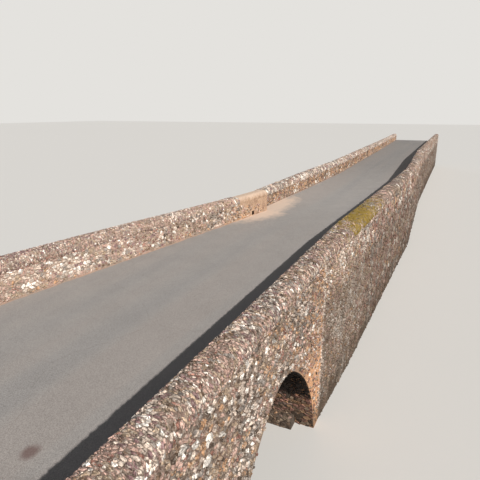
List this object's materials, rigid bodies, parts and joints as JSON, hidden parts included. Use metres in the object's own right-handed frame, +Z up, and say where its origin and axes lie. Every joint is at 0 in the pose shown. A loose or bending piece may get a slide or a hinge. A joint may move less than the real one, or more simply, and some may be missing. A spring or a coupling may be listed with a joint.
{
  "type": "packhorse bridge with a causeway, 1:2 scale model",
  "caption": "Long rubble-stone packhorse bridge at half size: a river arch, a tarmac roadway and swaying parapets with rounded copings.",
  "frame": {"origin": "on the underside, below the middle of the bridge's length and of its straight roadway, at the level of the lowest masonry", "axes": "+X along the bridge from its near end by the river arch to its far end, +Y to the left, +Z up"},
  "size_m": [39.6, 4.1501, 2.4201],
  "materials": {
    "rubble_stone": "rough, mortared rubble",
    "coping_stone": "rough stones on edge in lime mortar, rounded over",
    "lime_render": "smooth sandy lime render",
    "arch_stone": "damp sandstone",
    "packed_rubble": "packed rubble and earth",
    "tarmac": "worn tarmac with light chippings"
  },
  "bodies": {
    "root": {"right_wall_1": "rubble_stone", "right_wall_2": "rubble_stone", "right_wall_3": "rubble_stone", "right_wall_4": "rubble_stone", "right_wall_5": "rubble_stone", "right_wall_6": "rubble_stone", "right_wall_7": "rubble_stone", "right_coping_1": "coping_stone", "right_coping_2": "coping_stone", "right_coping_3": "coping_stone", "right_coping_4": "coping_stone", "right_coping_5": "coping_stone", "right_coping_6": "coping_stone", "right_coping_7": "coping_stone", "left_wall_1": "rubble_stone", "left_wall_2": "rubble_stone", "left_wall_3": "rubble_stone", "left_wall_4": "rubble_stone", "left_wall_5": "rubble_stone", "left_wall_6": "rubble_stone", "left_wall_7": "rubble_stone", "left_wall_8": "rubble_stone", "left_coping_1": "coping_stone", "left_coping_2": "coping_stone", "left_coping_3": "coping_stone", "left_coping_4": "coping_stone", "left_coping_5": "coping_stone", "left_coping_6": "coping_stone", "left_coping_7": "coping_stone", "left_coping_8": "coping_stone", "rendered_end": "lime_render", "rendered_cap": "lime_render", "arch_barrel": "arch_stone", "near_footing": "arch_stone", "far_footing": "arch_stone", "core_1": "packed_rubble", "core_2": "packed_rubble", "core_3": "packed_rubble", "core_4": "packed_rubble", "core_5": "packed_rubble", "road_1": "tarmac", "road_2": "tarmac", "road_3": "tarmac"}
  },
  "joints": []
}
